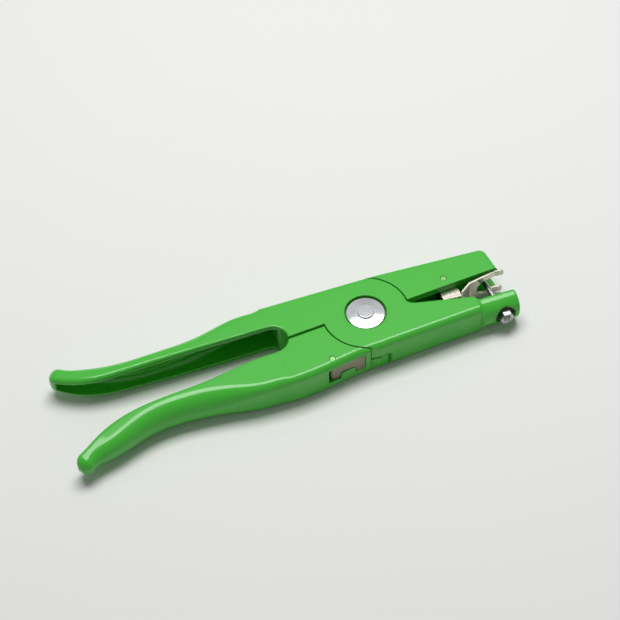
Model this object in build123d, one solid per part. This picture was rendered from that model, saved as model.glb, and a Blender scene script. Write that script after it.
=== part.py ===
from build123d import *
import os
from math import cos, floor, hypot, pi, radians, sin

# Ear tag applicator: two die-cast arms crossed in a half lap, with a tag clip and an applicator pin.
# Millimetres. The origin is on the pivot axis, on the face that the tool lies on.
# +X points to the jaws, +Y to the handle of the pin arm, +Z up. The jaws are nearly closed.

# Castings
body_thickness = 20.0
edge_round = 3.2
joint_ledge = 0.06
mid_z = body_thickness / 2

# Half lap at the pivot
lap_radius = 22.8
lap_gap = 0.7
lap_space = 1.0
lap_outline_margin = 0.5
lap_outline_angle = 82.0
lap_outline_blend = 25.0
lap_wall_end_x = -6.0
lap_top_z = mid_z + lap_space / 2
lap_bottom_z = mid_z - lap_space / 2

# Places along the tool, from the applicator pin
needle_x = 71.0
tip_past_needle = 6.0
nose_past_needle = 8.8
jaw_end_before_needle = 13.5
clip_pin_before_needle = 24.2
fork_root_before_needle = 7.0
clip_jaw_tip_x = needle_x + tip_past_needle
nose_tip_x = needle_x + nose_past_needle
pin_jaw_end_x = needle_x - jaw_end_before_needle
clip_pin_x = needle_x - clip_pin_before_needle
fork_root_x = needle_x - fork_root_before_needle

# Head outline seen from above
root_x = -51.5
pin_root_y = 23.0
clip_root_y = -28.6
clip_shoulder_x = -25.0
clip_shoulder_out = 3.2
far_bend_x = 14.0
far_bend_in = 0.2
far_bend_blend = 150.0
clip_jaw_corner_in = 1.8
clip_jaw_corner_y = 19.3
clip_jaw_corner_round = 4.2
pin_jaw_outer_in = 2.8
clip_shoulder_y = -(lap_radius + clip_shoulder_out)
far_bend_y = lap_radius - far_bend_in
clip_jaw_corner_x = clip_jaw_tip_x - clip_jaw_corner_in
pin_jaw_outer_y = -(lap_radius - pin_jaw_outer_in)

# Closing stop between the handle roots
stop_gap = 1.5
stop_pivot_y = 1.0
stop_slope = 0.0625
finger_slot_radius = 8.1
finger_slot_y = 0.4
rim_round = 0.9

# Jaw mouth
clip_jaw_root_y = 0.1
clip_jaw_edge_y = 3.6
pin_jaw_root_y = -0.6
pin_jaw_heel_past_lap = 1.7
pin_jaw_heel_y = -2.9
pin_jaw_heel_round = 6.0
pin_jaw_end_width = 9.4
pin_jaw_end_y = pin_jaw_outer_y + pin_jaw_end_width
pin_jaw_heel_x = lap_radius + pin_jaw_heel_past_lap

# Channel in the clip jaw
channel_past_lap = 5.2
channel_back_wall = 4.2
channel_flange = 4.0
channel_corner = 4.0
channel_start_x = lap_radius + channel_past_lap
channel_floor_y = clip_jaw_corner_y - channel_back_wall

# Nose of the pin jaw
nose_slope = 2.0
nose_inner_step = 0.9
nose_outer_out = 1.6
nose_drop = 1.2
nose_round = 8.0
nose_edge_round = 1.6
nose_end_less = 0.3
nose_inner_y = pin_jaw_end_y - nose_inner_step
nose_outer_y = pin_jaw_outer_y - nose_outer_out
nose_end_round = nose_edge_round - nose_end_less

# Handles: points along the rim and along the back of each, from the head to the end
pin_rim_points = [(root_x, finger_slot_y + finger_slot_radius), (-92.0, 8.5), (-127.0, 8.5), (-141.0, 9.0),
                  (-152.0, 11.4), (-163.9, 17.7)]
pin_back_points = [(root_x, pin_root_y), (-92.0, 19.0), (-126.5, 17.4), (-139.0, 19.4),
                   (-148.7, 21.6), (-158.9, 26.0)]
clip_rim_points = [(root_x, finger_slot_y - finger_slot_radius), (-92.0, -12.3), (-127.0, -14.8),
                   (-141.0, -17.9), (-152.0, -22.6), (-163.6, -29.4)]
clip_back_points = [(root_x, clip_root_y), (-92.0, -25.6), (-125.3, -26.2), (-137.8, -30.3),
                    (-147.9, -33.5), (-158.9, -37.4)]
handle_sections = 9
handle_end_x = -164.0
handle_end_height = 10.8
handle_taper_power = 4.0
handle_round = 9.0
handle_round_x = -100.0
handle_rim_end_round = 2.4
handle_end_reach = 5.0
handle_end_turns = (0.0, 30.0, 55.0, 75.0)
handle_wall = 2.6
handle_flange = 2.8
handle_hollow_ahead = 5.0
hollow_rim_round = 0.3
hollow_least_round = 0.8
round_margin = 1.0

# Pivot stack, upwards from the back
cap_recess_play = 0.8
cap_recess_depth = 2.8
cap_radius = 10.3
cap_seat_gap = 0.2
cap_rim_height = 1.8
cap_rise = 0.6
cap_disc_radius = 4.2
cap_groove = 0.7
bolt_radius = 5.0
bolt_thread_radius = 4.0
sleeve_radius = 7.0
nut_recess_play = 0.8
nut_sink = 0.3
pivot_washer_thickness = 0.8
pivot_washer_radius = 8.4
pivot_nut_flats = 13.0
pivot_nut_height = 2.5
fit = 0.05
cap_recess_radius = cap_radius + cap_recess_play
nut_recess_radius = pivot_washer_radius + nut_recess_play
nut_recess_depth = pivot_washer_thickness + pivot_nut_height + nut_sink

# Return spring round the sleeve
spring_wire = 2.2
spring_radius = 11.0
spring_coil_gap = 0.25
spring_leg = 17.0
spring_floor_z = 5.6
spring_play = 0.2
spring_side_play = 0.8
spring_groove_play = 0.3

# Ring between the laps
lap_washer_width = 3.0
lap_washer_inset = 0.5
lap_washer_play = 0.2

# Tag clip on its pin
clip_pin_y = 6.7
clip_pin_radius = 1.5
pin_end_inset = 0.15
clip_sheet = 0.9
clip_width = 17.0
clip_ear_play = 0.4
clip_ear_radius = 3.8
clip_heel_before_pin = 4.0
clip_heel_y = -3.4
clip_bend_past_pin = 6.2
clip_bend_y = -4.3
clip_rise_past_pin = 12.2
clip_rise_y = -0.2
clip_seat_before_tip = 2.4
clip_seat_gap = 0.35
clip_flare_past_tip = 2.6
clip_flare_drop = 0.7
clip_bend_radius = 1.3
fork_slot = 9.4
fork_tip_round = 1.4
clip_heel_x = clip_pin_x - clip_heel_before_pin
clip_bend_x = clip_pin_x + clip_bend_past_pin
clip_rise_x = clip_pin_x + clip_rise_past_pin
clip_seat_x = clip_jaw_tip_x - clip_seat_before_tip
clip_flare_x = clip_jaw_tip_x + clip_flare_past_tip

# Spring on the clip pin
clip_spring_wire = 1.0
clip_spring_radius = 2.7
clip_spring_coil_gap = 0.38
clip_spring_inset = 1.6
clip_spring_gap = 0.4

# Applicator pin and its fastening
needle_tilt = 4.0
needle_radius = 1.5
needle_reach = 18.5
needle_point = 5.0
needle_tip_radius = 0.3
collar_radius = 3.2
collar_length = 1.5
collar_play = 0.4
shank_radius = 2.5
stud_radius = 2.0
stud_reach = 3.0
stud_slot = 0.9
stud_slot_depth = 1.2
pin_recess_play = 0.4
pin_recess_depth = 3.0
pin_washer_radius = 5.3
pin_washer_thickness = 1.4
pin_nut_flats = 7.0
pin_nut_height = 3.4
pin_recess_radius = pin_washer_radius + pin_recess_play

# Lock pawl in the side window
lock_pin_x = -26.7
lock_pin_in = 0.6
lock_pin_radius = 1.5
pawl_play = 0.3
knuckle_radius = 3.3
pawl_length = 17.4
pawl_tip_inner = 0.6
pawl_tip_outer = -1.5
pawl_above_lap = 5.2
pawl_knuckle_height = 9.7
pawl_finger_height = 5.5
pawl_hook_length = 5.0
pawl_arch = 2.4
notch_width = 4.0
notch_depth = 2.5
notch_angle = -116.0
lock_pin_y = -(lap_radius - lock_pin_in)
window_floor_y = lock_pin_y + knuckle_radius + pawl_play
pawl_tip_x = lock_pin_x + pawl_length
pawl_high_z = lap_top_z + pawl_above_lap
pawl_low_z = pawl_high_z - pawl_knuckle_height
pawl_finger_low_z = pawl_high_z - pawl_finger_height

# Working values: cutters reach past faces, points are told apart
far_away = 60.0
past = 1.0
touch = 1e-3


# Plan lines and faces
def stop_y(x):
    """Height of the closing stop's centre line at x."""
    return stop_pivot_y + stop_slope * x


def clip_jaw_y(x):
    """Inner edge of the clip jaw at x."""
    run = (x - lap_radius) / (clip_jaw_tip_x - lap_radius)
    return clip_jaw_root_y + run * (clip_jaw_edge_y - clip_jaw_root_y)


def slab(face, low, high):
    """A plan face made solid between two heights."""
    return Pos(0, 0, low) * extrude(face, high - low)


def rod(radius, low, high, x=0.0, y=0.0):
    """An upright cylinder between two heights."""
    return Pos(x, y, low) * Cylinder(radius, high - low, align=(Align.CENTER, Align.CENTER, Align.MIN))


def block(x0, x1, y0, y1, z0, z1):
    """A box given by its limits."""
    return Pos((x0 + x1) / 2, (y0 + y1) / 2, (z0 + z1) / 2) * Box(x1 - x0, y1 - y0, z1 - z0)


def round_corner(face, point, radius):
    """A plan face with the corner nearest to a point rounded."""
    return fillet(face.vertices().sort_by_distance((point[0], point[1], 0))[0], radius)


def head_outline():
    """Outline of both arms' heads together, from the handle roots to the jaw tips."""
    arc_radius = lap_radius + lap_outline_margin
    angle = radians(lap_outline_angle)
    leave = (arc_radius * cos(angle), -arc_radius * sin(angle))
    bottom = (0, -arc_radius)
    middle_angle = radians((lap_outline_angle + 90) / 2)
    middle = (arc_radius * cos(middle_angle), -arc_radius * sin(middle_angle))
    far_corner = (clip_jaw_corner_x, clip_jaw_corner_y)
    far_side = Polyline((root_x, pin_root_y), (far_bend_x, far_bend_y), far_corner)
    mouth = Polyline(far_corner, (clip_jaw_tip_x, clip_jaw_edge_y), (clip_jaw_tip_x, pin_jaw_root_y),
                     (pin_jaw_end_x, pin_jaw_root_y), (pin_jaw_end_x, pin_jaw_outer_y), leave)
    lap = ThreePointArc(leave, middle, bottom)
    shoulder = Spline(bottom, (clip_shoulder_x, clip_shoulder_y), (root_x, clip_root_y),
                      tangents=[(-1, 0), (-1, 0)])
    back = Line((root_x, clip_root_y), (root_x, pin_root_y))
    face = make_face([far_side, mouth, lap, shoulder, back])
    face = round_corner(face, far_corner, clip_jaw_corner_round)
    face = round_corner(face, (far_bend_x, far_bend_y), far_bend_blend)
    return round_corner(face, leave, lap_outline_blend)


def head_block():
    """The whole head at full thickness with its outer edges rounded."""
    head = extrude(head_outline(), body_thickness)
    flat = head.edges().filter_by(lambda e: abs(e.bounding_box().size.Z) < touch)
    outer = flat.filter_by(lambda e: on_outer_edge(e @ 0.5))
    return fillet(outer, edge_round)


def on_outer_edge(point):
    """True on the long outer sides and the clip jaw's end, not in the mouth or at the root."""
    if point.X < root_x + touch:
        return False
    if point.Y > clip_jaw_edge_y:
        return True
    return point.Y < (pin_jaw_end_y + pin_jaw_outer_y) / 2


def side_face(sign):
    """Plan region of one arm: its handle root, the lap disc and its jaw (sign +1 pin arm, -1 clip arm)."""
    edge = sign * stop_gap / 2
    stop = [(root_x, stop_y(root_x) + edge), (0, stop_y(0) + edge)]
    if sign > 0:
        root = Polygon(*stop, (0, far_away), (root_x, far_away), align=None)
        heel = (pin_jaw_heel_x, pin_jaw_heel_y)
        jaw = Polygon((0, -far_away), (pin_jaw_end_x, -far_away), (pin_jaw_end_x, pin_jaw_end_y), heel,
                      (lap_radius, pin_jaw_root_y), (0, 0), align=None)
        jaw = round_corner(jaw, heel, pin_jaw_heel_round)
        beside = Rectangle(-lap_wall_end_x - lap_gap, far_away, align=(Align.MAX, Align.MAX))
        jaw += Circle(lap_radius + lap_outline_margin) & beside
    else:
        root = Polygon((root_x, -far_away), (0, -far_away), *reversed(stop), align=None)
        jaw = Polygon((0, 0), (lap_radius, clip_jaw_root_y), (clip_jaw_tip_x, clip_jaw_edge_y),
                      (clip_jaw_tip_x, far_away), (0, far_away), align=None)
    return root + jaw + Circle(lap_radius)


def handle_ease(x, start, end):
    """Smooth share from 0 at start to 1 at end."""
    share = min(max((x - start) / (end - start), 0.0), 1.0)
    return share * share * (3 - 2 * share)


def handle_height(x):
    """Thickness of a handle at x, thinning towards its end."""
    share = min(max((x - root_x) / (handle_end_x - root_x), 0.0), 1.0)
    return body_thickness - (body_thickness - handle_end_height) * share**handle_taper_power


def handle_plan(rim_points, back_points):
    """Pairs of rim and back points along a handle, evenly spread on two smooth curves."""
    rim = handle_line(rim_points)
    back = handle_line(back_points)
    shares = [step / (handle_sections - 1) for step in range(handle_sections)]
    return [(tuple(rim @ t)[:2], tuple(back @ t)[:2]) for t in shares]


def handle_line(points):
    """Smooth curve that leaves the head straight back."""
    last = (points[-1][0] - points[-2][0], points[-1][1] - points[-2][1])
    return Spline(*points, tangents=[(-1, 0), last])


def handle_back_round(rim, back):
    """Radius of a handle's back edges at a section, never more than its height and width allow."""
    x = rim[0]
    wanted = edge_round + (handle_round - edge_round) * handle_ease(x, root_x, handle_round_x)
    width = hypot(back[0] - rim[0], back[1] - rim[1])
    return min(wanted, handle_height(x) / 2 - round_margin, width - handle_rim_round(x) - round_margin)


def handle_rim_round(x):
    """Radius of a handle's rim edges at x, growing towards its end."""
    return rim_round + (handle_rim_end_round - rim_round) * handle_ease(x, root_x, handle_end_x)


def drawn_in(rim, back, rim_step, back_step):
    """A rim point and a back point, each moved towards the other by its own step."""
    width = hypot(back[0] - rim[0], back[1] - rim[1])
    unit = ((back[0] - rim[0]) / width, (back[1] - rim[1]) / width)
    return ((rim[0] + unit[0] * rim_step, rim[1] + unit[1] * rim_step),
            (back[0] - unit[0] * back_step, back[1] - unit[1] * back_step))


def handle_section(rim, back, height, rim_radius, back_radius):
    """One upright section between a rim point and a back point."""
    across = Vector(back[0] - rim[0], back[1] - rim[1], 0)
    plane = Plane(origin=(rim[0], rim[1], mid_z), x_dir=across, z_dir=across.cross(Vector(0, 0, 1)))
    face = Rectangle(across.length, height, align=(Align.MIN, Align.CENTER))
    corners = face.vertices().sort_by(Axis.X)
    face = fillet(corners[2:], back_radius)
    corners = face.vertices().sort_by(Axis.X)
    face = fillet(corners[:2], rim_radius)
    return (plane * face).faces()[0]


def handle_solid(plan):
    """Outer form of a handle, lofted through its sections and closed by a rounded end."""
    root_rim, root_back = drawn_in(*plan[0], joint_ledge, joint_ledge)
    sections = [handle_section(root_rim, root_back, body_thickness - 2 * joint_ledge, rim_round, edge_round)]
    for rim, back in plan[1:]:
        x = rim[0]
        rounds = (handle_rim_round(x), handle_back_round(rim, back))
        sections.append(handle_section(rim, back, handle_height(x), *rounds))
    return loft(sections) + handle_end(*plan[-1])


def handle_end(rim, back):
    """Rounded end of a handle beyond its last section."""
    along = Vector(back[1] - rim[1], rim[0] - back[0], 0).normalized()
    if along.X > 0:
        along = along * -1
    height = handle_height(rim[0])
    rim_radius, back_radius = handle_rim_round(rim[0]), handle_back_round(rim, back)
    sections = []
    for turn in handle_end_turns:
        scale = cos(radians(turn))
        step = along * (handle_end_reach * sin(radians(turn)))
        middle = Vector((rim[0] + back[0]) / 2, (rim[1] + back[1]) / 2, 0) + step
        half = Vector(back[0] - rim[0], back[1] - rim[1], 0) * (scale / 2)
        near, far = middle - half, middle + half
        sections.append(handle_section((near.X, near.Y), (far.X, far.Y), height * scale,
                                       rim_radius * scale, back_radius * scale))
    return loft(sections)


def handle_hollow(plan):
    """Hollow of a handle, open along its rim, which starts a little ahead of the handle's root."""
    (rim0, back0), (rim1, back1) = plan[0], plan[1]
    share = -handle_hollow_ahead / (rim0[0] - rim1[0])
    first = (tuple(a + (b - a) * share for a, b in zip(rim0, rim1)),
             tuple(a + (b - a) * share for a, b in zip(back0, back1)))
    sections = []
    for rim, back in [first] + plan[1:]:
        outside, inside = drawn_in(rim, back, -handle_wall, handle_wall)
        height = handle_height(rim[0]) - 2 * handle_flange
        radius = max(handle_back_round(rim, back) - handle_wall, hollow_least_round)
        radius = min(radius, height / 2 - round_margin)
        sections.append(handle_section(outside, inside, height, hollow_rim_round, radius))
    return loft(sections)


def finger_slot():
    """Round end of the slot between the handles."""
    return rod(finger_slot_radius, -past, body_thickness + past, root_x, finger_slot_y)


def round_slot(arm):
    """Round the flat edges of the finger slot, to meet the rims of the handle."""
    circles = arm.edges().filter_by(GeomType.CIRCLE)
    return fillet(circles.filter_by(lambda e: abs(e.radius - finger_slot_radius) < touch), rim_round)


# Pivot levels
cap_seat_z = body_thickness - cap_recess_depth
spring_roof_z = body_thickness - spring_floor_z
spring_cavity = spring_radius + spring_wire / 2 + spring_side_play
spring_low_z = spring_floor_z + spring_play + spring_wire / 2
spring_high_z = spring_roof_z - spring_play - spring_wire / 2
spring_room = spring_high_z - spring_low_z
spring_turns = floor(spring_room / (spring_wire + spring_coil_gap) - 0.5) + 0.5
spring_leg_drop = spring_leg * spring_room / (spring_turns * 2 * pi * spring_radius)


def spring_space(sign):
    """Cavity for the coil and the groove for its leg in one arm (sign +1 pin arm, -1 clip arm)."""
    low, high = (mid_z, spring_roof_z) if sign > 0 else (spring_floor_z, mid_z)
    groove_low = mid_z if sign > 0 else spring_floor_z - spring_leg_drop
    groove_high = spring_roof_z + spring_leg_drop if sign > 0 else mid_z
    half = spring_wire / 2 + spring_groove_play
    centre = sign * spring_radius
    groove = block(-spring_leg - spring_groove_play, 0, centre - half, centre + half, groove_low, groove_high)
    return rod(spring_cavity, low, high) + groove


# Arms
def nose():
    """Rounded nose of the pin jaw, with the slope that leads down to it."""
    inner, outer = pin_jaw_end_y - joint_ledge, pin_jaw_outer_y + joint_ledge
    jaw_end = rounded_bar(inner, outer, joint_ledge, edge_round, pin_jaw_end_x)
    start_x = pin_jaw_end_x + nose_slope
    start = rounded_bar(nose_inner_y, nose_outer_y, nose_drop, nose_round, start_x)
    slope = loft([jaw_end, start], ruled=True)
    bar = extrude(start, nose_tip_x - start_x, dir=(1, 0, 0))
    bar = fillet(bar.faces().sort_by(Axis.X)[-1].edges(), nose_end_round)
    return slope + bar


def rounded_bar(inner_y, outer_y, drop, outer_round, x):
    """Section of the pin jaw at x, across the tool."""
    return handle_section((x, inner_y), (x, outer_y), body_thickness - 2 * drop, nose_edge_round, outer_round)


def tilted(shape):
    """A piece of the applicator pin's group, leaned towards the pivot about the middle of the nose."""
    middle = Pos(needle_x, (nose_inner_y + nose_outer_y) / 2, 0)
    return middle * Rot(0, 0, needle_tilt) * middle.inverse() * shape


def needle_bore():
    """Bore, outer recess and the collar's spot face for the applicator pin."""
    bore = Cylinder(shank_radius + fit, far_away) + Pos(0, 0, nose_inner_y) * Cylinder(
        collar_radius + collar_play, far_away, align=(Align.CENTER, Align.CENTER, Align.MIN))
    recess = Pos(0, 0, nose_outer_y + pin_recess_depth) * Cylinder(
        pin_recess_radius, far_away, align=(Align.CENTER, Align.CENTER, Align.MAX))
    return tilted(Pos(needle_x, 0, mid_z) * Rot(-90, 0, 0) * (bore + recess))


def pin_arm():
    """Arm with the far handle, the upper lap and the near jaw."""
    arm = head_block() & slab(side_face(1), -past, body_thickness + past)
    arm -= rod(lap_radius + lap_gap, -past, lap_top_z)
    arm = round_slot(arm - finger_slot())
    plan = handle_plan(pin_rim_points, pin_back_points)
    arm += handle_solid(plan)
    arm -= handle_hollow(plan)
    arm += nose()
    arm -= needle_bore()
    arm -= rod(cap_recess_radius, cap_seat_z, body_thickness + past)
    arm -= rod(sleeve_radius + fit, 0, body_thickness)
    arm -= spring_space(1)
    return arm - lock_notch()


def clip_channel():
    """Channel in the clip jaw, open to the mouth and at the tip."""
    end_x = clip_jaw_tip_x + past
    plan = Polygon((channel_start_x, -past), (end_x, -past), (end_x, channel_floor_y),
                   (channel_start_x, channel_floor_y), align=None)
    plan = round_corner(plan, (channel_start_x, channel_floor_y), channel_corner)
    return slab(plan, channel_flange, body_thickness - channel_flange)


def clip_arm():
    """Arm with the near handle, the lower lap and the far jaw."""
    arm = head_block() & slab(side_face(-1), -past, body_thickness + past)
    arm -= rod(lap_radius + lap_gap, lap_bottom_z, body_thickness + past)
    arm -= block(lap_wall_end_x, 0, -far_away, 0, lap_bottom_z, body_thickness + past)
    beside = block(lap_wall_end_x, 0, -far_away, 0, -past, body_thickness + past)
    arm -= beside - rod(lap_radius + lap_outline_margin, -far_away, far_away)
    arm = round_slot(arm - finger_slot())
    plan = handle_plan(clip_rim_points, clip_back_points)
    arm += handle_solid(plan)
    arm -= handle_hollow(plan)
    arm -= clip_channel()
    arm -= rod(clip_pin_radius + fit, -past, body_thickness + past, clip_pin_x, clip_pin_y)
    arm -= rod(nut_recess_radius, -past, nut_recess_depth)
    arm -= rod(sleeve_radius + fit, 0, body_thickness)
    arm -= spring_space(-1)
    arm -= lock_window()
    return arm - rod(lock_pin_radius + fit, -past, body_thickness + past, lock_pin_x, lock_pin_y)


# Pivot pieces
def ring(outer, inner, low, high):
    """A plain ring between two heights."""
    return rod(outer, low, high) - rod(inner, low - past, high + past)


def pivot_bolt():
    """Turned bolt with a wide dished head and a raised centre disc."""
    seat = cap_seat_z + cap_seat_gap
    rim = seat + cap_rim_height
    top = body_thickness + cap_rise
    shoulder = nut_recess_depth + fit
    groove = top - cap_groove
    stem = [(0, pin_end_inset), (bolt_thread_radius, pin_end_inset), (bolt_thread_radius, shoulder),
            (bolt_radius, shoulder), (bolt_radius, seat)]
    head = [(cap_radius, seat), (cap_radius, rim), (cap_disc_radius + cap_groove, groove),
            (cap_disc_radius, groove), (cap_disc_radius, top), (0, top)]
    bolt = revolve(Plane.XZ * make_face(Polyline(*stem, *head, close=True)), Axis.Z)
    rounded = [circle_edge(bolt, cap_radius, rim), circle_edge(bolt, cap_disc_radius, top)]
    return fillet(rounded, cap_groove / 2)


def circle_edge(solid, radius, z):
    """The round edge of a turned solid that is nearest to a radius and a height."""
    circles = solid.edges().filter_by(GeomType.CIRCLE)
    return circles.sort_by(lambda e: abs(e.radius - radius) + abs(e.arc_center.Z - z))[0]


def pivot_sleeve():
    """Steel sleeve that both arms turn on."""
    return ring(sleeve_radius, bolt_radius + fit, nut_recess_depth, cap_seat_z)


def pivot_washer():
    """Washer under the pivot nut."""
    low = nut_recess_depth - pivot_washer_thickness
    return ring(pivot_washer_radius, bolt_thread_radius + fit, low, nut_recess_depth)


def hexagon(flats, height):
    """A hexagonal prism on Z."""
    return extrude(RegularPolygon(flats / 2, 6, major_radius=False), height)


def pivot_nut():
    """Low nut on the back of the pivot bolt."""
    top = nut_recess_depth - pivot_washer_thickness
    nut = Pos(0, 0, top - pivot_nut_height) * hexagon(pivot_nut_flats, pivot_nut_height)
    return nut - rod(bolt_thread_radius + fit, -past, top + past)


def lap_washer():
    """Low-friction ring between the lap faces."""
    outer = lap_radius - lap_washer_inset
    return ring(outer, outer - lap_washer_width, lap_bottom_z, lap_top_z - lap_washer_play)


def torsion_coil(radius, wire, turns, low, high, low_leg, high_leg):
    """A round-wire coil on Z between two heights of the wire's centre, with a straight leg off each end."""
    path = Helix((high - low) / turns, high - low, radius, center=(0, 0, low))
    start = Plane(origin=path @ 0, z_dir=path % 0) * Circle(wire / 2)
    end = Plane(origin=path @ 1, z_dir=path % 1) * Circle(wire / 2)
    return sweep(start, path=path, is_frenet=True) + extrude(start, -low_leg) + extrude(end, high_leg)


def return_spring():
    """Torsion spring with one leg in each arm."""
    coil = torsion_coil(spring_radius, spring_wire, spring_turns, spring_low_z, spring_high_z,
                        spring_leg, spring_leg)
    return Rot(0, 0, -90) * coil


# Tag clip
def tag_clip():
    """Bent sheet fork with two ears folded back round the clip pin."""
    seat_y = clip_jaw_y(clip_seat_x) - clip_seat_gap - clip_sheet / 2
    web = [(clip_heel_x, clip_heel_y), (clip_bend_x, clip_bend_y), (clip_rise_x, clip_rise_y)]
    tongue = [(clip_seat_x, seat_y), (clip_flare_x, seat_y - clip_flare_drop)]
    path = FilletPolyline(*web, *tongue, radius=clip_bend_radius)
    low, high = mid_z - clip_width / 2, mid_z + clip_width / 2
    sheet = slab(trace(path, clip_sheet), low, high)
    ear_low = channel_flange + clip_ear_play
    ear_high = body_thickness - ear_low
    for z0, z1 in ((low - past, ear_low), (ear_high, high + past)):
        sheet -= block(clip_heel_x - past, clip_bend_x, -far_away, far_away, z0, z1)
    sheet = round_prongs(sheet - fork_cut())
    ear_plan = Polygon((clip_heel_x, clip_heel_y), (clip_bend_x, clip_bend_y), (clip_bend_x, 0),
                       (clip_pin_x + clip_ear_radius, clip_pin_y), (clip_pin_x - clip_ear_radius, clip_pin_y),
                       (clip_heel_x, 0), align=None) + Pos(clip_pin_x, clip_pin_y) * Circle(clip_ear_radius)
    for z0 in (ear_low, ear_high - clip_sheet):
        sheet += slab(ear_plan, z0, z0 + clip_sheet)
    return sheet - rod(clip_pin_radius + fit, 0, body_thickness, clip_pin_x, clip_pin_y)


def round_prongs(sheet):
    """Round the corners of the fork's two prongs."""
    near_tip = sheet.edges().filter_by(lambda e: (e @ 0.5).X > clip_flare_x - clip_sheet)
    radius = min(fork_tip_round, (clip_width - fork_slot) / 4)
    return fillet(near_tip.filter_by(lambda e: abs(e.length - clip_sheet) < touch), radius)


def fork_cut():
    """Slot of the fork, round at its root and open at the tip."""
    root_centre = fork_root_x + fork_slot / 2
    slot = block(root_centre, far_away * 2, -far_away, far_away, mid_z - fork_slot / 2, mid_z + fork_slot / 2)
    root = Pos(root_centre, 0, mid_z) * Rot(90, 0, 0) * Cylinder(fork_slot / 2, far_away)
    return slot + root


def clip_pin():
    """Cross pin through the clip jaw."""
    pin = rod(clip_pin_radius, pin_end_inset, body_thickness - pin_end_inset, clip_pin_x, clip_pin_y)
    return chamfer(pin.edges().filter_by(GeomType.CIRCLE), pin_end_inset)


def clip_spring():
    """Torsion spring on the clip pin, with legs to the clip's web and the channel's floor."""
    low = channel_flange + clip_ear_play + clip_sheet + clip_spring_inset
    room = body_thickness - 2 * low
    turns = floor(room / (clip_spring_wire + clip_spring_coil_gap))
    run = (clip_pin_x + clip_spring_radius - clip_heel_x) / (clip_bend_x - clip_heel_x)
    web_y = clip_heel_y + run * (clip_bend_y - clip_heel_y) + clip_sheet / 2
    coil = torsion_coil(clip_spring_radius, clip_spring_wire, turns, low, low + room,
                        clip_pin_y - web_y - clip_spring_gap, channel_floor_y - clip_pin_y - clip_spring_gap)
    return Pos(clip_pin_x, clip_pin_y, 0) * coil


# Applicator pin and its fastening
def turned(points):
    """A turned piece on the applicator pin's axis, from radius and distance along the tool's width."""
    solid = revolve(make_face(Polyline(*points, close=True)), Axis.Y)
    return tilted(Pos(needle_x, 0, mid_z) * solid)


pin_seat_y = nose_outer_y + pin_recess_depth
stud_end_y = nose_outer_y - stud_reach


def applicator_pin():
    """Pointed pin with a collar, a shank in the nose and a slotted threaded end."""
    tip = nose_inner_y + needle_reach
    collar = nose_inner_y + collar_length
    point = [(0, tip), (needle_tip_radius, tip), (needle_radius, tip - needle_point), (needle_radius, collar)]
    shank = [(collar_radius, collar), (collar_radius, nose_inner_y), (shank_radius, nose_inner_y),
             (shank_radius, pin_seat_y)]
    stud = [(stud_radius, pin_seat_y), (stud_radius, stud_end_y), (0, stud_end_y)]
    slot = block(needle_x - stud_slot / 2, needle_x + stud_slot / 2, stud_end_y - past,
                 stud_end_y + stud_slot_depth, 0, body_thickness)
    return turned(point + shank + stud) - tilted(slot)


def pin_washer():
    """Dark washer at the bottom of the nose's recess."""
    end = pin_seat_y - pin_washer_thickness
    bore = stud_radius + fit
    rim = pin_washer_radius
    return turned([(bore, pin_seat_y), (rim, pin_seat_y), (rim, end), (bore, end)])


def pin_nut():
    """Hexagonal nut on the pin's threaded end."""
    nut = hexagon(pin_nut_flats, pin_nut_height) - Cylinder(stud_radius + fit, far_away)
    top = pin_seat_y - pin_washer_thickness
    return tilted(Pos(needle_x, top, mid_z) * Rot(90, 0, 0) * nut)


# Lock pawl
def pawl_side(play):
    """Side view of the pawl, grown by a play: a knuckle and a hooked tip with an arch between."""
    left, right = lock_pin_x - knuckle_radius - play, pawl_tip_x + play
    heel, hook = lock_pin_x + knuckle_radius + play, pawl_tip_x - pawl_hook_length - play
    low, middle, high = pawl_low_z - play, pawl_finger_low_z - play, pawl_high_z + play
    side = Polygon((left, low), (heel, low), (heel, middle), (hook, middle), (hook, low), (right, low),
                   (right, high), (left, high), align=None)
    side = round_corner(side, (heel, middle), pawl_arch - play)
    return Plane.XZ * round_corner(side, (hook, middle), pawl_arch - play)


def lock_window():
    """Side window that follows the pawl's outline, open to the outside."""
    return Pos(0, window_floor_y, 0) * extrude(pawl_side(pawl_play), far_away)


def lock_notch():
    """Notch in the rim of the pin arm's lap where the pawl's tip drops in."""
    height = pawl_high_z + pawl_play - lap_top_z
    notch = Pos(lap_radius, 0, lap_top_z + height / 2) * Box(2 * notch_depth, notch_width, height)
    return Rot(0, 0, notch_angle) * notch


def lock_pin():
    """Pin that the pawl turns on."""
    pin = rod(lock_pin_radius, pin_end_inset, body_thickness - pin_end_inset, lock_pin_x, lock_pin_y)
    return chamfer(pin.edges().filter_by(GeomType.CIRCLE), pin_end_inset)


def lock_pawl():
    """Pawl with a knuckle on its pin and an arched finger."""
    plan = Polygon((lock_pin_x, lock_pin_y - knuckle_radius), (pawl_tip_x, lock_pin_y + pawl_tip_outer),
                   (pawl_tip_x, lock_pin_y + pawl_tip_inner), (lock_pin_x, lock_pin_y + knuckle_radius / 2),
                   align=None)
    finger = slab(plan, pawl_low_z, pawl_high_z) & extrude(pawl_side(0), far_away, both=True)
    pawl = finger + rod(knuckle_radius, pawl_low_z, pawl_high_z, lock_pin_x, lock_pin_y)
    return pawl - rod(lock_pin_radius + fit, 0, body_thickness, lock_pin_x, lock_pin_y)


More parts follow.
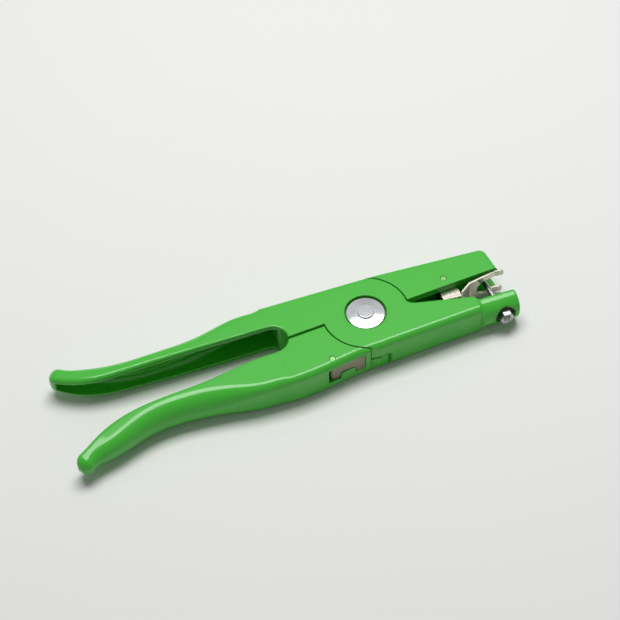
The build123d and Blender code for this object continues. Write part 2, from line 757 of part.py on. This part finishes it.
pieces = {
    "pin_arm": pin_arm,
    "clip_arm": clip_arm,
    "pivot_bolt": pivot_bolt,
    "pivot_sleeve": pivot_sleeve,
    "pivot_washer": pivot_washer,
    "pivot_nut": pivot_nut,
    "lap_washer": lap_washer,
    "return_spring": return_spring,
    "tag_clip": tag_clip,
    "clip_pin": clip_pin,
    "clip_spring": clip_spring,
    "applicator_pin": applicator_pin,
    "pin_washer": pin_washer,
    "pin_nut": pin_nut,
    "lock_pin": lock_pin,
    "lock_pawl": lock_pawl,
}

os.makedirs("parts", exist_ok=True)
for name, make in pieces.items():
    export_step(make(), f"parts/{name}.step")
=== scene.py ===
from math import cos, pi, radians, sin

import bmesh
import bpy
from bpy.props import FloatProperty, FloatVectorProperty, PointerProperty
from mathutils import Matrix, Vector


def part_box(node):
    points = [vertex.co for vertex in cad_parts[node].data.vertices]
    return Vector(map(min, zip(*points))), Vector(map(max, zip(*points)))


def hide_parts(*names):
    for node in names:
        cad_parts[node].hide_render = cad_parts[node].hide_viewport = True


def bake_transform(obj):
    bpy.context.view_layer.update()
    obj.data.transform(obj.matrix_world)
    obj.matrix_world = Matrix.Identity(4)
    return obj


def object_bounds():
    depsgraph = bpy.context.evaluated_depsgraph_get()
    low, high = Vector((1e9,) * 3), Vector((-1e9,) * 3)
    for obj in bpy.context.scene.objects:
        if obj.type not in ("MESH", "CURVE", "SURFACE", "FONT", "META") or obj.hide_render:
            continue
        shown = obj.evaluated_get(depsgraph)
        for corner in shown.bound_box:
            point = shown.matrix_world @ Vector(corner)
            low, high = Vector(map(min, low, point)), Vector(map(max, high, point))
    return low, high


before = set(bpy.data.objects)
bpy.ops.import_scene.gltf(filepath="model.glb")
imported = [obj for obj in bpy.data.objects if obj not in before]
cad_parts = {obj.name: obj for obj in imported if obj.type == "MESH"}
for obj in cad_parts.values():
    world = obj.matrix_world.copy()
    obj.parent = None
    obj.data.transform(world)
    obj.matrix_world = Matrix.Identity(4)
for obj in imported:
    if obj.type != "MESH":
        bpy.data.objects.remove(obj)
cad_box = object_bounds()

bl_info = {
    "name": "Ear tag applicator",
    "version": (1, 0, 0),
    "blender": (4, 5, 0),
    "location": "View3D > Sidebar > Applicator",
    "description": "Finishes a packed ear tag applicator and sets it on a pale floor",
    "category": "Object",
}

MM = 0.001
IMAGE_SIDE = 620.0  # the picture's width and height in pixels
SENSOR_WIDTH = 36.0  # the camera's, in mm
CLIP_START, CLIP_END = 0.01, 20.0  # nearest and furthest that the camera sees, in metres
FLOOR_GAP = 0.2 * MM  # keeps the floor clear of the face that the tool lies on
FLOOR_CELLS = 8
ENAMEL_EDGE_RAYS, SHEET_EDGE_RAYS = 6, 4  # rays that find how close an edge is
NOISE_LOW, NOISE_HIGH = 0.3, 0.7  # most of a noise pattern lies between these
PIVOT_POINT = (0.0, 0.0, 0.0)  # on the pivot's axis


def linear(hex_colour):
    """Linear colour of an sRGB hex value."""
    channels = [int(hex_colour[i:i + 2], 16) / 255 for i in (1, 3, 5)]
    return tuple(c / 12.92 if c <= 0.04045 else ((c + 0.055) / 1.055) ** 2.4 for c in channels)


def colour_property(name, description, hex_colour):
    return FloatVectorProperty(name=name, description=description, subtype="COLOR", size=3,
                               min=0.0, max=1.0, default=linear(hex_colour))


def length_property(name, description, millimetres):
    return FloatProperty(name=name, description=description, unit="LENGTH", subtype="DISTANCE",
                         precision=5, default=millimetres * MM)


def place_property(name, description, metres):
    return FloatVectorProperty(name=name, description=description, unit="LENGTH", subtype="TRANSLATION",
                               size=3, default=metres)


def angle_property(name, description, degrees):
    return FloatProperty(name=name, description=description, subtype="ANGLE", default=radians(degrees))


def share_property(name, description, share):
    return FloatProperty(name=name, description=description, subtype="FACTOR",
                         min=0.0, max=1.0, default=share)


def power_property(name, description, watts):
    return FloatProperty(name=name, description=description, unit="POWER", min=0.0, default=watts)


def pixel_property(name, description, pixels):
    return FloatProperty(name=name, description=description, subtype="PIXEL", default=pixels)


class ArmFinish(bpy.types.PropertyGroup):
    """Enamel of the two die-cast arms."""
    colour: colour_property("Enamel", "Colour of the gloss enamel", "#43C033")
    shade: colour_property("Enamel, thick", "Deeper tone where the enamel lies thicker", "#3DB62E")
    smooth: share_property("Smoothest", "Roughness under the gloss where the enamel lies smoothest", 0.25)
    rough: share_property("Roughest", "Roughness under the gloss where the enamel lies roughest", 0.33)
    reflection: share_property("Reflection", "Strength of the reflection under the gloss", 0.2)
    gloss: share_property("Gloss", "Weight of the clear skin that gives the gloss", 0.55)
    gloss_roughness: share_property("Gloss roughness", "Roughness of the clear skin", 0.05)
    peel: length_property("Orange peel", "Width of the ripples that sprayed enamel dries with", 1.6)
    peel_depth: length_property("Peel depth", "Depth of the ripples", 0.1)
    peel_strength: share_property("Peel strength", "How much the ripples turn the light", 0.06)
    drift: length_property("Tone drift", "Width of the slow changes of tone", 26.0)
    edge: length_property("Edge softness", "Radius that the enamel gives a sharp cast edge", 1.2)


class MetalFinish(bpy.types.PropertyGroup):
    """Finishes of the metal pieces."""
    plated: colour_property("Plated steel", "Nickel-plated turned steel", "#B3B5B7")
    plated_roughness: share_property("Plated roughness", "Roughness of the pivot's steel", 0.16)
    nut_roughness: share_property("Nut roughness", "Roughness of the applicator pin's nut", 0.24)
    stainless: colour_property("Stainless", "Cold-rolled stainless sheet", "#C8C0B4")
    stainless_roughness: share_property("Stainless roughness", "Roughness of the stainless sheet", 0.22)
    needle: colour_property("Tool steel", "Hardened and polished tool steel", "#A3A3A6")
    needle_roughness: share_property("Tool steel roughness", "Roughness of the applicator pin", 0.2)
    # The pawl's steel is a darker copy of the sheet steel: its tone is painted shade, for the shade it sits
    # in inside the arm's window.
    pawl: colour_property("Shaded pawl steel", "Pressed steel darkened as painted shade", "#8A8372")
    pawl_roughness: share_property("Shaded pawl steel roughness", "Roughness of the lock pawl", 0.34)
    pin: colour_property("Zinc plate", "Zinc-plated cross pin under a veil of enamel", "#84B672")
    pin_roughness: share_property("Zinc plate roughness", "Roughness of the cross pins", 0.2)
    wire: colour_property("Spring wire", "Drawn spring wire", "#6C6B6A")
    return_roughness: share_property("Return spring roughness", "Roughness of the oil-tempered wire", 0.38)
    clip_roughness: share_property("Clip spring roughness", "Roughness of the bright wire", 0.32)
    cloud: length_property("Clouding", "Width of the cloudy patches in a turned metal's tone", 4.0)
    turning: length_property("Turning marks", "Distance between the rings that turning leaves", 1.3)
    turning_depth: length_property("Turning depth", "Depth of the rings", 0.02)
    turning_strength: share_property("Turning strength", "How much the rings turn the light", 0.25)
    rolling: length_property("Rolling marks", "Width of the streaks on rolled sheet", 0.8)
    rolling_shape: share_property("Rolling shape", "Width of a streak as a share of its length", 0.05)
    rolling_depth: length_property("Rolling depth", "Depth of the streaks", 0.02)
    rolling_strength: share_property("Rolling strength", "How much the streaks turn the light", 0.03)
    sheet_edge: length_property("Sheet edge", "Radius of a sheet's deburred edge", 0.15)


class TrimFinish(bpy.types.PropertyGroup):
    """Finishes of the washers that aren't metal."""
    # The washer's near black is partly its own fibre colour and partly painted shade, for the shade in the
    # nut's recess.
    fibre: colour_property("Fibre", "Black vulcanised fibre", "#1B1A19")
    fibre_roughness: share_property("Fibre roughness", "Roughness of the fibre", 0.6)
    nylon: colour_property("Nylon", "Natural nylon", "#DAD7CD")
    nylon_roughness: share_property("Nylon roughness", "Roughness of the nylon", 0.5)
    grain: length_property("Grain", "Width of the specks in a pressed washer", 0.5)
    grain_depth: length_property("Grain depth", "Depth of the specks", 0.05)
    grain_strength: share_property("Grain strength", "How much the specks turn the light", 0.2)


class StageSettings(bpy.types.PropertyGroup):
    """Camera, light and floor."""
    floor: colour_property("Floor", "Colour of the pale floor", "#EFEFED")
    floor_roughness: share_property("Floor roughness", "Roughness of the floor", 0.9)
    floor_reach: length_property("Floor reach", "Distance from the floor's middle to each side", 3000.0)
    mottle: length_property("Floor mottle", "Width of the faint patches on the floor", 166.7)
    glow_start: length_property("Glow start", "Distance from the pivot where the floor begins to glow", 350.0)
    glow_end: length_property("Glow end", "Distance from the pivot where the glow is full", 1600.0)
    glow: share_property("Glow", "Strength of the far floor's glow", 0.6)
    azimuth: angle_property("Azimuth", "Camera's direction round the tool", -18.5)
    elevation: angle_property("Elevation", "Camera's height above the floor", 52.0)
    roll: angle_property("Roll", "Camera's roll", 1.7)
    focal: pixel_property("Focal length", "Focal length in pixels of the picture", 1700.0)
    pixels: FloatProperty(name="Pixels per mm", description="Scale of the picture at the pivot", default=1.91)
    pivot_x: pixel_property("Pivot across", "Pivot's place from the picture's left side", 365.55)
    pivot_y: pixel_property("Pivot down", "Pivot's place from the picture's top", 312.0)
    key: power_property("Key light", "Power of the soft lamp overhead", 14.0)
    key_place: place_property("Key place", "Where the soft lamp hangs", (0.1, 0.36, 1.25))
    key_target: place_property("Key target", "Point that the soft lamp faces", (0.1, 0.0, 0.0))
    key_width: length_property("Key width", "Width of the soft lamp", 1000.0)
    key_depth: length_property("Key depth", "Depth of the soft lamp", 550.0)
    card: power_property("Card light", "Power of the wide card behind", 2.4)
    card_place: place_property("Card place", "Where the card stands", (0.35, 1.15, 1.5))
    card_target: place_property("Card target", "Point that the card faces", (-0.03, 0.0, 0.0))
    card_width: length_property("Card width", "Width of the card", 1600.0)
    card_depth: length_property("Card depth", "Depth of the card", 1000.0)
    ambient: share_property("Ambient", "Strength of the even light from all round", 0.18)
    surround: share_property("Surround", "Brightness of the pale room that gloss and metal mirror", 0.6)


def add(tree, kind, inputs=None, **settings):
    """Adds a node with its settings; an input is a value, or a socket to link from."""
    node = tree.nodes.new(kind)
    for name, value in settings.items():
        setattr(node, name, value)
    for key, value in (inputs or {}).items():
        if isinstance(value, bpy.types.NodeSocket):
            tree.links.new(value, node.inputs[key])
        else:
            node.inputs[key].default_value = value
    return node


def new_material(name):
    """A node material with only a shader and an output, and the socket for places on the piece."""
    material = bpy.data.materials.new(name)
    material.use_nodes = True
    tree = material.node_tree
    tree.nodes.clear()
    shader = add(tree, "ShaderNodeBsdfPrincipled")
    add(tree, "ShaderNodeOutputMaterial", {"Surface": shader.outputs[0]})
    place = add(tree, "ShaderNodeTexCoord").outputs["Object"]
    return material, tree, shader, place


def rgba(colour, share=1.0):
    """Colour with an alpha of 1, dimmed to a share of its brightness."""
    return (*(c * share for c in colour), 1.0)


def uneven(tree, shader, pattern, tones, roughness=None):
    """Drifts the base colour between two tones by a pattern and, where a pair is given, the roughness too."""
    tone = add(tree, "ShaderNodeMix", {"Factor": pattern, "A": tones[0], "B": tones[1]}, data_type="RGBA")
    tree.links.new(tone.outputs["Result"], shader.inputs["Base Color"])
    if roughness:
        smooth, rough = roughness
        spread = add(tree, "ShaderNodeMapRange", {"Value": pattern, "From Min": NOISE_LOW,
                                                  "From Max": NOISE_HIGH, "To Min": smooth, "To Max": rough})
        tree.links.new(spread.outputs[0], shader.inputs["Roughness"])


def paint(node_names, material):
    """Gives CAD pieces their material."""
    for name in node_names:
        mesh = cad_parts[name].data
        mesh.materials.clear()
        mesh.materials.append(material)


def gloss_enamel(finish):
    """Sprayed and baked gloss enamel on die-cast alloy: even colour, soft ripples and rounded edges."""
    material, tree, shader, place = new_material("gloss_green_enamel")
    drift = add(tree, "ShaderNodeTexNoise", {"Vector": place, "Scale": 1 / finish.drift, "Detail": 3.0})
    uneven(tree, shader, drift.outputs["Fac"], (rgba(finish.colour), rgba(finish.shade)),
           (finish.smooth, finish.rough))
    peel = add(tree, "ShaderNodeTexNoise", {"Vector": place, "Scale": 1 / finish.peel, "Detail": 1.0})
    soft_edge = add(tree, "ShaderNodeBevel", {"Radius": finish.edge}, samples=ENAMEL_EDGE_RAYS)
    ripple = add(tree, "ShaderNodeBump", {"Height": peel.outputs["Fac"], "Strength": finish.peel_strength,
                                          "Distance": finish.peel_depth, "Normal": soft_edge.outputs[0]})
    tree.links.new(ripple.outputs[0], shader.inputs["Normal"])
    shader.inputs["Specular IOR Level"].default_value = finish.reflection
    shader.inputs["Coat Weight"].default_value = finish.gloss
    shader.inputs["Coat Roughness"].default_value = finish.gloss_roughness
    return material


def turned_steel(name, metal, colour, roughness, axis_point, axis="Z"):
    """Turned steel: bright, with rings round its axis that draw highlights into arcs, and faintly cloudy.

    Real rings are a few hundredths of a millimetre apart, so they are drawn coarser to show. They run on from
    a flat end down the sides, because the place along the axis is added to the radius.
    """
    swing, dim = 0.03, 0.94  # of the roughness, and of the tone in the clouds
    material, tree, shader, place = new_material(name)
    centred = add(tree, "ShaderNodeMapping", {"Vector": place, "Location": [-c for c in axis_point]})
    parts = add(tree, "ShaderNodeSeparateXYZ", {"Vector": centred.outputs[0]}).outputs
    across = add(tree, "ShaderNodeCombineXYZ", {"X": parts["X"], "Y": parts["Y" if axis == "Z" else "Z"]})
    radius = add(tree, "ShaderNodeVectorMath", {0: across.outputs[0]}, operation="LENGTH")
    travel = add(tree, "ShaderNodeMath", {0: radius.outputs["Value"], 1: parts[axis]}, operation="ADD")
    phase = add(tree, "ShaderNodeMath", {0: travel.outputs[0], 1: 2 * pi / metal.turning},
                operation="MULTIPLY")
    ring = add(tree, "ShaderNodeMath", {0: phase.outputs[0]}, operation="SINE")
    bump = add(tree, "ShaderNodeBump", {"Height": ring.outputs[0], "Strength": metal.turning_strength,
                                        "Distance": metal.turning_depth})
    tree.links.new(bump.outputs[0], shader.inputs["Normal"])
    cloud = add(tree, "ShaderNodeTexNoise", {"Vector": place, "Scale": 1 / metal.cloud, "Detail": 4.0})
    uneven(tree, shader, cloud.outputs["Fac"], (rgba(colour, dim), rgba(colour)),
           (roughness - swing, roughness + swing))
    shader.inputs["Metallic"].default_value = 1.0
    return material


def rolled_sheet(name, metal, colour, roughness):
    """Cold-rolled sheet: streaks along the rolling direction and soft, slightly warm reflections.

    Real streaks are finer than a pixel, so they are drawn wider to show.
    """
    swing, dim = 0.05, 0.92  # of the roughness, and of the tone in the streaks
    material, tree, shader, place = new_material(name)
    long_way = add(tree, "ShaderNodeMapping", {"Vector": place, "Scale": (metal.rolling_shape, 1.0, 1.0)})
    streak = add(tree, "ShaderNodeTexNoise", {"Vector": long_way.outputs[0], "Scale": 1 / metal.rolling,
                                              "Detail": 2.0})
    uneven(tree, shader, streak.outputs["Fac"], (rgba(colour, dim), rgba(colour)),
           (roughness - swing, roughness + swing))
    soft_edge = add(tree, "ShaderNodeBevel", {"Radius": metal.sheet_edge}, samples=SHEET_EDGE_RAYS)
    bump = add(tree, "ShaderNodeBump", {"Height": streak.outputs["Fac"], "Strength": metal.rolling_strength,
                                        "Distance": metal.rolling_depth, "Normal": soft_edge.outputs[0]})
    tree.links.new(bump.outputs[0], shader.inputs["Normal"])
    shader.inputs["Metallic"].default_value = 1.0
    return material


def pressed_washer(name, trim, colour, roughness):
    """Pressed fibre or moulded nylon: matt, with fine specks."""
    dim = 0.7  # of the tone in the specks
    material, tree, shader, place = new_material(name)
    speck = add(tree, "ShaderNodeTexNoise", {"Vector": place, "Scale": 1 / trim.grain, "Detail": 3.0})
    uneven(tree, shader, speck.outputs["Fac"], (rgba(colour, dim), rgba(colour)))
    bump = add(tree, "ShaderNodeBump", {"Height": speck.outputs["Fac"], "Strength": trim.grain_strength,
                                        "Distance": trim.grain_depth})
    tree.links.new(bump.outputs[0], shader.inputs["Normal"])
    shader.inputs["Roughness"].default_value = roughness
    return material


def winding_spring(node, material):
    """Stands a copy of a spring's CAD mesh, in the given material, in for its CAD node, which it hides."""
    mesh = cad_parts[node].data.copy()
    mesh.materials.clear()
    mesh.materials.append(material)
    spring = bpy.data.objects.new("winding_" + node, mesh)
    bpy.context.scene.collection.objects.link(spring)
    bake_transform(spring)
    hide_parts(node)


def middle(node):
    """Centre of a CAD piece's box."""
    low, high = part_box(node)
    return (low + high) / 2


class TAGGER_OT_arms(bpy.types.Operator):
    """Enamel the two cast arms"""
    bl_idname = "tagger.arms"
    bl_label = "Cast arms"

    def execute(self, context):
        paint(["pin_arm", "clip_arm"], gloss_enamel(context.scene.tagger_arms))
        return {"FINISHED"}


class TAGGER_OT_pivot(bpy.types.Operator):
    """Finish the bolt, sleeve, washers, nut and spring of the pivot"""
    bl_idname = "tagger.pivot"
    bl_label = "Pivot"

    def execute(self, context):
        metal, trim = context.scene.tagger_metal, context.scene.tagger_trim
        steel = turned_steel("nickel_plated_steel", metal, metal.plated, metal.plated_roughness, PIVOT_POINT)
        paint(["pivot_bolt", "pivot_sleeve", "pivot_washer", "pivot_nut"], steel)
        wire = turned_steel("oil_tempered_wire", metal, metal.wire, metal.return_roughness, PIVOT_POINT)
        winding_spring("return_spring", wire)
        paint(["lap_washer"], pressed_washer("natural_nylon", trim, trim.nylon, trim.nylon_roughness))
        return {"FINISHED"}


class TAGGER_OT_clip(bpy.types.Operator):
    """Finish the tag clip, its spring, the pawl and their pins"""
    bl_idname = "tagger.clip"
    bl_label = "Tag clip and lock"

    def execute(self, context):
        metal = context.scene.tagger_metal
        sheet = rolled_sheet("rolled_stainless", metal, metal.stainless, metal.stainless_roughness)
        paint(["tag_clip"], sheet)
        # The pawl gets a darker steel than the clip; the darker tone is painted shade, for the shade it sits
        # in.
        paint(["lock_pawl"], rolled_sheet("pawl_steel_painted_shade", metal, metal.pawl, metal.pawl_roughness))
        wire = turned_steel("bright_spring_wire", metal, metal.wire, metal.clip_roughness, middle("clip_pin"))
        winding_spring("clip_spring", wire)
        for node in ("clip_pin", "lock_pin"):
            zinc = turned_steel("zinc_plated_" + node, metal, metal.pin, metal.pin_roughness, middle(node))
            paint([node], zinc)
        return {"FINISHED"}


class TAGGER_OT_pin(bpy.types.Operator):
    """Finish the applicator pin, its nut and its washer"""
    bl_idname = "tagger.pin"
    bl_label = "Applicator pin"

    def execute(self, context):
        metal, trim = context.scene.tagger_metal, context.scene.tagger_trim
        centre = middle("applicator_pin")  # the pin leans 4 degrees from Y, which its rings leave out
        needle = turned_steel("polished_tool_steel", metal, metal.needle, metal.needle_roughness, centre, "Y")
        paint(["applicator_pin"], needle)
        nut = turned_steel("nickel_plated_nut", metal, metal.plated, metal.nut_roughness, centre, "Y")
        paint(["pin_nut"], nut)
        # The washer's near black is partly the fibre's own colour and partly painted shade, for the shade in
        # the recess round the nut.
        paint(["pin_washer"], pressed_washer("black_fibre", trim, trim.fibre, trim.fibre_roughness))
        return {"FINISHED"}


def lamp(name, place, target, width, depth, power):
    """An area lamp aimed at a point."""
    data = bpy.data.lights.new(name, "AREA")
    data.shape = "RECTANGLE"
    data.size, data.size_y, data.energy = width, depth, power
    lamp_object = bpy.data.objects.new(name, data)
    lamp_object.location = place
    lamp_object.rotation_euler = (Vector(target) - Vector(place)).to_track_quat("-Z", "Y").to_euler()
    bpy.context.scene.collection.objects.link(lamp_object)


def seen_directly(tree):
    """Socket that is 1 for what is seen, straight, mirrored or through glass, and 0 for light that falls."""
    ray = add(tree, "ShaderNodeLightPath").outputs
    seen = ray["Is Camera Ray"]
    for other in ("Is Glossy Ray", "Is Transmission Ray"):
        seen = add(tree, "ShaderNodeMath", {0: seen, 1: ray[other]}, operation="MAXIMUM").outputs[0]
    return seen


def pale_card(stage):
    """Matt backdrop card: pale and faintly mottled, with a glow that keeps it pale past the lamps' reach."""
    dim = 0.985  # of the tone in the mottle
    material, tree, shader, place = new_material("matt_backdrop_card")
    mottle = add(tree, "ShaderNodeTexNoise", {"Vector": place, "Scale": 1 / stage.mottle, "Detail": 2.0})
    uneven(tree, shader, mottle.outputs["Fac"], (rgba(stage.floor, dim), rgba(stage.floor)))
    shader.inputs["Roughness"].default_value = stage.floor_roughness
    reach = add(tree, "ShaderNodeVectorMath", {0: place}, operation="LENGTH")
    glow = add(tree, "ShaderNodeMapRange", {"Value": reach.outputs["Value"], "From Min": stage.glow_start,
                                            "From Max": stage.glow_end, "To Min": 0.0, "To Max": stage.glow})
    strength = add(tree, "ShaderNodeMath", {0: glow.outputs["Result"], 1: seen_directly(tree)},
                   operation="MULTIPLY")
    tree.links.new(strength.outputs[0], shader.inputs["Emission Strength"])
    shader.inputs["Emission Color"].default_value = rgba(stage.floor)
    return material


def pale_floor(stage):
    """A wide floor under the tool."""
    mesh = bpy.data.meshes.new("floor")
    shape = bmesh.new()
    bmesh.ops.create_grid(shape, x_segments=FLOOR_CELLS, y_segments=FLOOR_CELLS, size=stage.floor_reach)
    shape.to_mesh(mesh)
    shape.free()
    mesh.materials.append(pale_card(stage))
    floor = bpy.data.objects.new("floor", mesh)
    floor.location.z = cad_box[0].z - FLOOR_GAP
    bpy.context.scene.collection.objects.link(floor)


def even_world(stage):
    """A plain level of white light from all round, with a pale room for the camera and for reflections."""
    world = bpy.data.worlds.new("studio")
    world.use_nodes = True
    tree = world.node_tree
    tree.nodes.clear()
    level = add(tree, "ShaderNodeMapRange", {"Value": seen_directly(tree), "To Min": stage.ambient,
                                             "To Max": stage.surround})
    light = add(tree, "ShaderNodeBackground", {"Color": (1.0, 1.0, 1.0, 1.0), "Strength": level.outputs[0]})
    add(tree, "ShaderNodeOutputWorld", {"Surface": light.outputs[0]})
    bpy.context.scene.world = world


def place_camera(stage):
    """Camera at the picture's angle, with the pivot's middle, at the arms' top, where the picture has it."""
    azimuth, elevation, roll = stage.azimuth, stage.elevation, stage.roll
    level = Vector((cos(azimuth), sin(azimuth), 0.0))
    back = Vector((sin(azimuth) * cos(elevation), -cos(azimuth) * cos(elevation), sin(elevation)))
    upright = back.cross(level)
    right = level * cos(roll) - upright * sin(roll)
    up = level * sin(roll) + upright * cos(roll)
    half = IMAGE_SIDE / 2
    offset = right * (half - stage.pivot_x) + up * (stage.pivot_y - half) + back * stage.focal  # in pixels
    pivot_top = Vector((0.0, 0.0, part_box("pin_arm")[1].z))
    data = bpy.data.cameras.new("camera")
    data.sensor_width = SENSOR_WIDTH
    data.lens = stage.focal / IMAGE_SIDE * SENSOR_WIDTH
    data.clip_start, data.clip_end = CLIP_START, CLIP_END
    camera = bpy.data.objects.new("camera", data)
    turn = Matrix((right, up, back)).transposed().to_4x4()
    camera.matrix_world = Matrix.Translation(pivot_top + offset * (MM / stage.pixels)) @ turn
    bpy.context.scene.collection.objects.link(camera)
    bpy.context.scene.camera = camera


class TAGGER_OT_stage(bpy.types.Operator):
    """Set the floor, the lamps and the camera"""
    bl_idname = "tagger.stage"
    bl_label = "Stage"

    def execute(self, context):
        stage = context.scene.tagger_stage
        pale_floor(stage)
        even_world(stage)
        lamp("key", stage.key_place, stage.key_target, stage.key_width, stage.key_depth, stage.key)
        lamp("card", stage.card_place, stage.card_target, stage.card_width, stage.card_depth, stage.card)
        place_camera(stage)
        context.scene.view_settings.view_transform = "Standard"
        return {"FINISHED"}


OPERATORS = (TAGGER_OT_arms, TAGGER_OT_pivot, TAGGER_OT_clip, TAGGER_OT_pin, TAGGER_OT_stage)
SETTINGS = {"tagger_arms": ArmFinish, "tagger_metal": MetalFinish, "tagger_trim": TrimFinish,
            "tagger_stage": StageSettings}


class TAGGER_PT_panel(bpy.types.Panel):
    """Lists the applicator's pieces and their settings"""
    bl_idname = "TAGGER_PT_panel"
    bl_label = "Ear tag applicator"
    bl_space_type = "VIEW_3D"
    bl_region_type = "UI"
    bl_category = "Applicator"

    def draw(self, context):
        for name, group in SETTINGS.items():
            box = self.layout.box()
            for field in group.__annotations__:
                box.prop(getattr(context.scene, name), field)
        for operator in OPERATORS:
            self.layout.operator(operator.bl_idname)


CLASSES = (*SETTINGS.values(), *OPERATORS, TAGGER_PT_panel)


def register():
    for cls in CLASSES:
        bpy.utils.register_class(cls)
    for name, group in SETTINGS.items():
        setattr(bpy.types.Scene, name, PointerProperty(type=group))


def unregister():
    for name in SETTINGS:
        delattr(bpy.types.Scene, name)
    for cls in reversed(CLASSES):
        bpy.utils.unregister_class(cls)


def main():
    register()
    bpy.ops.tagger.arms()
    bpy.ops.tagger.pivot()
    bpy.ops.tagger.clip()
    bpy.ops.tagger.pin()
    bpy.ops.tagger.stage()


if __name__ == "__main__":
    main()
